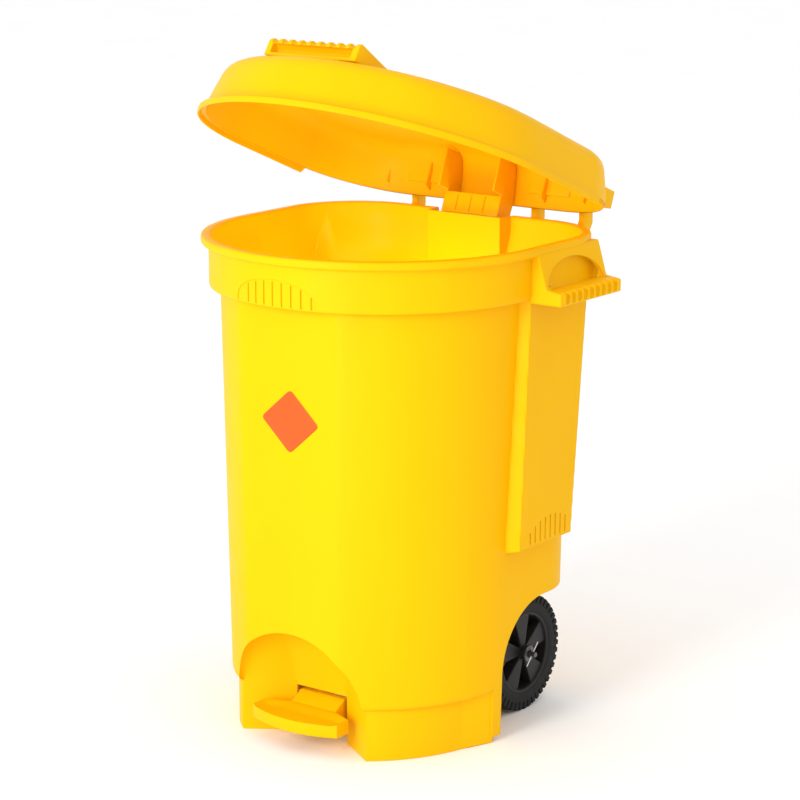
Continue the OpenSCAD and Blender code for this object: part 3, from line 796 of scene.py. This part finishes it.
def build_tread():
    """Foot plate with a bowed front, a dished top and a neck that rises towards the bin."""
    n = 61
    x = np.linspace(-TREAD_X, TREAD_X, n)
    front = TREAD_Y - TREAD_BOW * (1 - (x / TREAD_X) ** 2)
    rear = np.interp(np.abs(x), [0, NECK_X, TREAD_X], [-188, -188, -206])
    dish, thickness = 5.0, 22.0
    top, low = [], []
    for s in np.linspace(0, 1, 26):
        y = front + (rear - front) * s
        inside = smooth_step(s / 0.1) * smooth_step((1 - s) / 0.45)
        inside = inside * smooth_step((1 - np.abs(x) / TREAD_X) / 0.16)
        top.append(np.stack([x, y, TREAD_Z + 1.0 - dish * inside - 2.4 * (s < 0.02)], 1))
        low.append(np.stack([x * 0.985, y + 1.2 * (1 - s), np.full(n, TREAD_Z - thickness)], 1))
    tread = sheet_solid("pedal_tread_moulding", np.array(top), np.array(low))
    round_edges(tread, 2.2, 3, 50)
    ramp_side = [(-194, TREAD_Z - 12), (-194, TREAD_Z - 1.5), (-190, TREAD_Z), (-163, 73.3), (-150, 73.3),
                 (-150, TREAD_Z - thickness), (-186, TREAD_Z - thickness)]
    fuse(tread, prism("neck", ramp_side, "x", -NECK_X, NECK_X, 1.8, 3))
    under = [(-80, -231), (0, -248), (80, -231), (80, -209), (42, -190), (42, -146), (-42, -146), (-42, -190),
             (-80, -209)]
    return cut(tread, prism("pocket", under, "z", TREAD_Z - 26, TREAD_Z - 9))


# ---------------------------------------------------------------- wheels
def build_tyre(name):
    """Tyre with blocks on the tread and shoulders, drawn at a radius of 100 and then scaled."""
    w = WHEEL_X[1] - WHEEL_X[0]
    gap_depth, shoulder_depth, groove_depth, groove_in = 3.6, 3.0, 3.0, 9
    outer = [(3, 69), (1.6, 71), (0.7, 74), (0.2, 78), (0, 82), (0.3, 85.5), (0.2, 86), (0, 87), (0, 96),
             (0.5, 98.6), (2.2, 99.8), (5, 100), (w / 2, 100)]
    profile = fill(outer + [(w - a, r) for a, r in outer[:-1][::-1]], 2.0)
    n = 900
    angle = np.linspace(0, 2 * math.pi, n, endpoint=False)
    rings = []
    for along, r in profile:
        edge = min(along, w - along)
        outward = 1 if along > w / 2 else -1
        row = int(edge > groove_in) + 2 * int(along > w / 2)
        phase = (angle * TREAD_BLOCKS / (2 * math.pi) + (0.0, 0.5, 0.5, 0.0)[row]) % 1
        gap = 1 - smooth_step((np.abs(phase - 0.5) - 0.13) / 0.10)
        on_side = smooth_step((r - 85.0) / 2.5) * (1 - smooth_step((edge - 2.5) / 1.5))
        to_groove = abs(edge - groove_in)
        on_tread = smooth_step((edge - 1.0) / 2.0) * (1 - 0.9 * smooth_step((3 - to_groove) / 2))
        drop = gap * gap_depth * on_tread + groove_depth * smooth_step((2.2 - to_groove) / 1.2)
        rr = (r - drop * (r > 97)) * WHEEL_R / 100
        x = WHEEL_X[0] + along - outward * shoulder_depth * gap * on_side
        rings.append(np.stack([np.broadcast_to(x, rr.shape), WHEEL_Y + rr * np.cos(angle),
                               WHEEL_Z + rr * np.sin(angle)], 1))
    return ring_solid(name, rings, closed=True)


def fill(profile, step):
    """A polyline with points added so that none is further than step from the next."""
    out = [profile[0]]
    for a, b in zip(profile, profile[1:]):
        count = max(1, math.ceil(math.dist(a, b) / step))
        out += [(a[0] + (b[0] - a[0]) * k / count, a[1] + (b[1] - a[1]) * k / count)
                for k in range(1, count + 1)]
    return out


def build_core(name):
    """Five flat wedge spokes between a hub and a rim."""
    x0, x1 = WHEEL_X
    centre = (0, WHEEL_Y, WHEEL_Z)
    rim = [(x0 + 3.5, 69.2), (x0 + 3.5, 66), (x0 + 5.5, 64.4), (x1 - 4.5, 64.4), (x1 - 2.6, 65.6),
           (x1 - 2, 67), (x1 - 2.2, 69.2)]
    core = lathe(name, rim + [rim[0]], "x", centre, 120)
    barrel = [(x0 - 4.6, 14), (x0 - 3.4, 16), (x0 + 20, 17.5), (x0 + 39, 13), (x0 + 46.6, 12),
              (x0 + 48, 10.6)]
    parts = [lathe("hub", barrel, "x", centre, 72)]
    count, turn = 5, math.radians(4)
    corners = [(8, -5), (66.5, -22), (66.5, 22), (8, 5)]
    for k in range(count):
        a = 2 * math.pi * k / count - turn
        out, across = np.array([math.sin(a), math.cos(a)]), np.array([math.cos(a), -math.sin(a)])
        spoke = [tuple(out * r + across * s) for r, s in corners]
        spoke = [(WHEEL_Y + p, WHEEL_Z + q) for p, q in spoke]
        parts.append(prism("spoke", spoke, "x", x0 + 18, x1 - 6, 1.2, 3))
    fuse(core, *parts)
    bore = lathe("bore", rod_profile(x0 - 20, x1 + 30, AXLE_R + 0.06, 0.1), "x", centre, 64)
    return cut(core, bore)


def build_cotter(name):
    """Straight pin through the axle's end."""
    lean, half, radius = math.radians(43), 23, 1.25
    along = np.array([0, math.sin(lean), math.cos(lean)]) * half
    middle = np.array([COTTER_X, WHEEL_Y, WHEEL_Z])
    return capsule(name, middle - along, middle + along, radius)


def build_axle():
    """Axle with stepped, chamfered ends."""
    step_x, end_r = 198, 4.6
    half = [(0, AXLE_R), (step_x - 1, AXLE_R), (step_x, AXLE_R - 1.5), (step_x + 1, end_r), (212.8, end_r),
            (AXLE_HI.x, 3.4)]
    return lathe("axle_bar", [(-t, r) for t, r in half[::-1]][:-1] + half, "x", (0, WHEEL_Y, WHEEL_Z), 48)


# ---------------------------------------------------------------- materials
def node_material(name, colour, roughness, **shader):
    material = bpy.data.materials.new(name)
    material.use_nodes = True
    tree = material.node_tree
    tree.nodes.clear()
    out = tree.nodes.new("ShaderNodeOutputMaterial")
    bsdf = tree.nodes.new("ShaderNodeBsdfPrincipled")
    tree.links.new(bsdf.outputs["BSDF"], out.inputs["Surface"])
    bsdf.inputs["Base Color"].default_value = (*colour, 1)
    bsdf.inputs["Roughness"].default_value = roughness
    for key, value in shader.items():
        bsdf.inputs[key.replace("_", " ")].default_value = value
    coords = tree.nodes.new("ShaderNodeTexCoord")
    return material, tree, bsdf, coords.outputs["Object"]


def noise(tree, vector, scale, detail=4.0, rough=0.5, stretch=None):
    if stretch:
        mapping = tree.nodes.new("ShaderNodeMapping")
        mapping.inputs["Scale"].default_value = stretch
        tree.links.new(vector, mapping.inputs["Vector"])
        vector = mapping.outputs["Vector"]
    node = tree.nodes.new("ShaderNodeTexNoise")
    node.inputs["Scale"].default_value = scale
    node.inputs["Detail"].default_value = detail
    node.inputs["Roughness"].default_value = rough
    tree.links.new(vector, node.inputs["Vector"])
    return node.outputs["Fac"]


def ramp(tree, value, stops):
    node = tree.nodes.new("ShaderNodeValToRGB")
    elements = node.color_ramp.elements
    while len(elements) < len(stops):
        elements.new(0.5)
    for element, (position, colour) in zip(elements, stops):
        element.position = position
        element.color = (*colour, 1)
    tree.links.new(value, node.inputs["Fac"])
    return node.outputs["Color"]


def spread(tree, value, lo, hi):
    """Maps the middle of a noise's range to lo and hi."""
    node = tree.nodes.new("ShaderNodeMapRange")
    node.inputs["From Min"].default_value = 0.3
    node.inputs["From Max"].default_value = 0.7
    node.inputs["To Min"].default_value = lo
    node.inputs["To Max"].default_value = hi
    tree.links.new(value, node.inputs["Value"])
    return node.outputs["Result"]


def bump(tree, bsdf, height, strength, distance, under=None):
    node = tree.nodes.new("ShaderNodeBump")
    node.inputs["Strength"].default_value = strength
    node.inputs["Distance"].default_value = distance
    tree.links.new(height, node.inputs["Height"])
    if under is not None:
        tree.links.new(under, node.inputs["Normal"])
    tree.links.new(node.outputs["Normal"], bsdf.inputs["Normal"])
    return node.outputs["Normal"]


def shade_plastic(name, dark, mid, light, roughness, specular=0.5, grain=900.0):
    """Moulded plastic: faint flow marks in the colour, uneven gloss and a fine moulded grain."""
    material, tree, bsdf, place = node_material(name, mid, roughness)
    bsdf.inputs["Specular IOR Level"].default_value = specular
    clouds = noise(tree, place, 5.5, 5.0, 0.55, (1.0, 1.0, 0.35))
    tree.links.new(ramp(tree, clouds, [(0.3, dark), (0.5, mid), (0.72, light)]), bsdf.inputs["Base Color"])
    gloss = noise(tree, place, 26.0, 6.0, 0.62)
    tree.links.new(spread(tree, gloss, roughness - 0.05, roughness + 0.07), bsdf.inputs["Roughness"])
    edge = tree.nodes.new("ShaderNodeBevel")
    edge.samples = 4
    edge.inputs["Radius"].default_value = 0.0016
    flow = bump(tree, bsdf, noise(tree, place, 14.0, 3.0, 0.4), 0.06, 0.004, edge.outputs["Normal"])
    bump(tree, bsdf, noise(tree, place, grain, 2.0, 0.5), 0.10, 0.0002, flow)
    return material


def shade_steel(name, tint, roughness):
    material, tree, bsdf, place = node_material(name, tint, roughness, Metallic=1.0)
    streaks = noise(tree, place, 220.0, 4.0, 0.6, (0.06, 1.0, 1.0))
    colour = ramp(tree, streaks, [(0.3, [c * 0.78 for c in tint]), (0.7, tint)])
    tree.links.new(colour, bsdf.inputs["Base Color"])
    tree.links.new(spread(tree, streaks, roughness - 0.08, roughness + 0.12), bsdf.inputs["Roughness"])
    bump(tree, bsdf, streaks, 0.2, 0.0002)
    return material


def shade_rubber(name):
    material, tree, bsdf, place = node_material(name, (0.014, 0.014, 0.0145), 0.72)
    bsdf.inputs["Specular IOR Level"].default_value = 0.25
    dust = noise(tree, place, 42.0, 6.0, 0.65)
    tree.links.new(ramp(tree, dust, [(0.3, (0.008, 0.008, 0.0085)), (0.6, (0.014, 0.0135, 0.014)),
                                     (0.85, (0.03, 0.029, 0.028))]), bsdf.inputs["Base Color"])
    tree.links.new(spread(tree, dust, 0.6, 0.82), bsdf.inputs["Roughness"])
    bump(tree, bsdf, noise(tree, place, 700.0, 3.0, 0.6), 0.35, 0.0003)
    return material


YELLOW = shade_plastic("bin_yellow", (0.865, 0.455, 0.0008), (0.885, 0.475, 0.001), (0.90, 0.495, 0.0014),
                       0.42, specular=0.06)
BLACK = shade_plastic("black_plastic", (0.010, 0.010, 0.011), (0.016, 0.016, 0.017), (0.024, 0.024, 0.025),
                      0.42)
CORE = shade_plastic("wheel_black", (0.008, 0.008, 0.0085), (0.011, 0.011, 0.0115), (0.016, 0.016, 0.0165),
                     0.46, specular=0.26)
ORANGE = shade_plastic("label_orange", (0.54, 0.082, 0.008), (0.57, 0.09, 0.009), (0.60, 0.098, 0.011),
                       0.42, specular=0.2, grain=1400.0)
STEEL = shade_steel("steel_zinc", (0.72, 0.73, 0.75), 0.28)
DARK_STEEL = shade_steel("steel_dark", (0.17, 0.17, 0.18), 0.45)
RUBBER = shade_rubber("tyre_rubber")


# ---------------------------------------------------------------- putting the pieces in
def settle(obj, material, body, slot, *nodes, lid=False):
    """Moves a finished mesh to its place, shades it and ties it to its body."""
    mesh = obj.data
    points = np.array([v.co for v in mesh.vertices], float)
    points = laid(swung(points) if lid else points)
    mesh.vertices.foreach_set("co", points.astype(np.float32).ravel())
    mesh.materials.clear()
    mesh.materials.append(material)
    mesh.update()
    mesh.shade_smooth()
    mesh.set_sharp_from_angle(angle=math.radians(32))
    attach(obj, body)
    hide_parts(*nodes)
    return obj


def build_all():
    settle(build_bin(), YELLOW, "bin", "bin_yellow", "bin_shell")
    settle(build_lid_shell(), YELLOW, "lid", "bin_yellow", "lid_shell", lid=True)
    settle(build_lid_grip(), YELLOW, "lid", "bin_yellow", "lid_grip", lid=True)
    settle(build_push_block(), YELLOW, "lid", "bin_yellow", "lid_push_block", lid=True)
    bracket = build_hinge_bracket()
    settle(mirrored(bracket, "hinge_bracket_moulding_l"), YELLOW, "bin", "bin_yellow", "hinge_bracket_l")
    settle(bracket, YELLOW, "bin", "bin_yellow", "hinge_bracket_r")
    settle(build_label(), ORANGE, "bin", "label_orange", "label_plate")
    settle(build_tread(), YELLOW, "pedal", "bin_yellow", "pedal_tread")
    tyre = build_tyre("tyre_right")
    settle(mirrored(tyre, "tyre_left"), RUBBER, "wheel_left", "tyre_rubber", "wheel_tyre_l")
    settle(tyre, RUBBER, "wheel_right", "tyre_rubber", "wheel_tyre_r")
    core = build_core("wheel_centre_right")
    settle(mirrored(core, "wheel_centre_left"), CORE, "wheel_left", "wheel_black", "wheel_core_l")
    settle(core, CORE, "wheel_right", "wheel_black", "wheel_core_r")
    cotter = build_cotter("axle_pin_right")
    settle(mirrored(cotter, "axle_pin_left"), STEEL, "bin", "steel", "cotter_pin_l")
    settle(cotter, STEEL, "bin", "steel", "cotter_pin_r")
    settle(build_axle(), DARK_STEEL, "bin", "steel", "wheel_axle")


def shade_frame_nodes():
    """CAD nodes whose shape is right keep it and get a finished material."""
    by_slot = {"bin_yellow": YELLOW, "steel": STEEL, "black_plastic": BLACK, "wheel_black": CORE,
               "tyre_rubber": RUBBER, "label_orange": ORANGE}
    for part in frame["record"]["subparts"]:
        node = frame["nodes"][part["node"]]
        if not node.hide_render:
            node.data.materials.clear()
            dark = part["node"].startswith("axle_washer")
            node.data.materials.append(DARK_STEEL if dark else by_slot[part["material_slot"]])


# ---------------------------------------------------------------- studio
def add_floor():
    """Pale floor, wide enough to reach the horizon."""
    size, step = 80.0, 41
    line = np.linspace(-size / 2, size / 2, step)
    points = [(x, y, 0.0) for y in line for x in line]
    faces = [[r * step + c, r * step + c + 1, (r + 1) * step + c + 1, (r + 1) * step + c]
             for r in range(step - 1) for c in range(step - 1)]
    floor = new_object("studio_floor", points, faces)
    material, tree, bsdf, place = node_material("floor_white", (0.975, 0.975, 0.975), 0.9)
    white = ramp(tree, noise(tree, place, 2.0), [(0.3, (0.97, 0.97, 0.97)), (0.7, (0.98, 0.98, 0.98))])
    tree.links.new(white, bsdf.inputs["Base Color"])
    bsdf.inputs["Specular IOR Level"].default_value = 0.1
    floor.data.materials.append(material)


def add_light(name, location, target, size, power):
    light = bpy.data.lights.new(name, "AREA")
    light.shape = "DISK"
    light.size = size
    light.energy = power
    obj = bpy.data.objects.new(name, light)
    bpy.context.scene.collection.objects.link(obj)
    obj.location = location
    obj.rotation_euler = (Vector(target) - Vector(location)).to_track_quat("-Z", "Y").to_euler()


def add_glow(name, location, radius, power, colour):
    light = bpy.data.lights.new(name, "POINT")
    light.shadow_soft_size = radius
    light.color = colour
    light.energy = power
    obj = bpy.data.objects.new(name, light)
    bpy.context.scene.collection.objects.link(obj)
    obj.location = location
    obj.visible_camera = False


def add_studio():
    scene = bpy.context.scene
    world = bpy.data.worlds.new("studio")
    scene.world = world
    world.use_nodes = True
    background = world.node_tree.nodes["Background"]
    background.inputs["Color"].default_value = (1, 1, 1, 1)
    background.inputs["Strength"].default_value = 1.02
    scene.view_settings.view_transform = "Standard"
    scene.view_settings.look = "None"
    add_light("key", (-0.1, -4.3, 2.1), (0, 0, 0.7), 1.6, 88)
    add_light("low_fill", (0.1, -3.2, 0.3), (0, 0.2, 0.8), 1.0, 22)
    # stand-ins for the light that thin yellow walls let through
    add_glow("glow_inside", (0, SHIFT_Y / 1000 + 0.02, 0.66), 0.1, 2.3, (0.84, 1.0, 0.5))
    add_glow("glow_under", (0, SHIFT_Y / 1000 - 0.03, 0.09), 0.02, 0.22, (1.0, 1.0, 1.0))


def add_camera():
    """The camera that was fitted to the photograph."""
    azimuth, elevation, distance = math.radians(36.75), math.radians(13.02), 4.318
    target = Vector((0.037, SHIFT_Y / 1000, 0.5436))
    level = math.cos(elevation)
    offset = Vector((math.sin(azimuth) * level, -math.cos(azimuth) * level, math.sin(elevation)))
    camera = bpy.data.objects.new("camera", bpy.data.cameras.new("camera"))
    bpy.context.scene.collection.objects.link(camera)
    camera.location = target + offset * distance
    camera.rotation_euler = (-offset).to_track_quat("-Z", "Y").to_euler()
    camera.data.lens = 118.3
    camera.data.sensor_width = 36.0
    bpy.context.scene.camera = camera


build_all()
shade_frame_nodes()
add_floor()
add_studio()
add_camera()
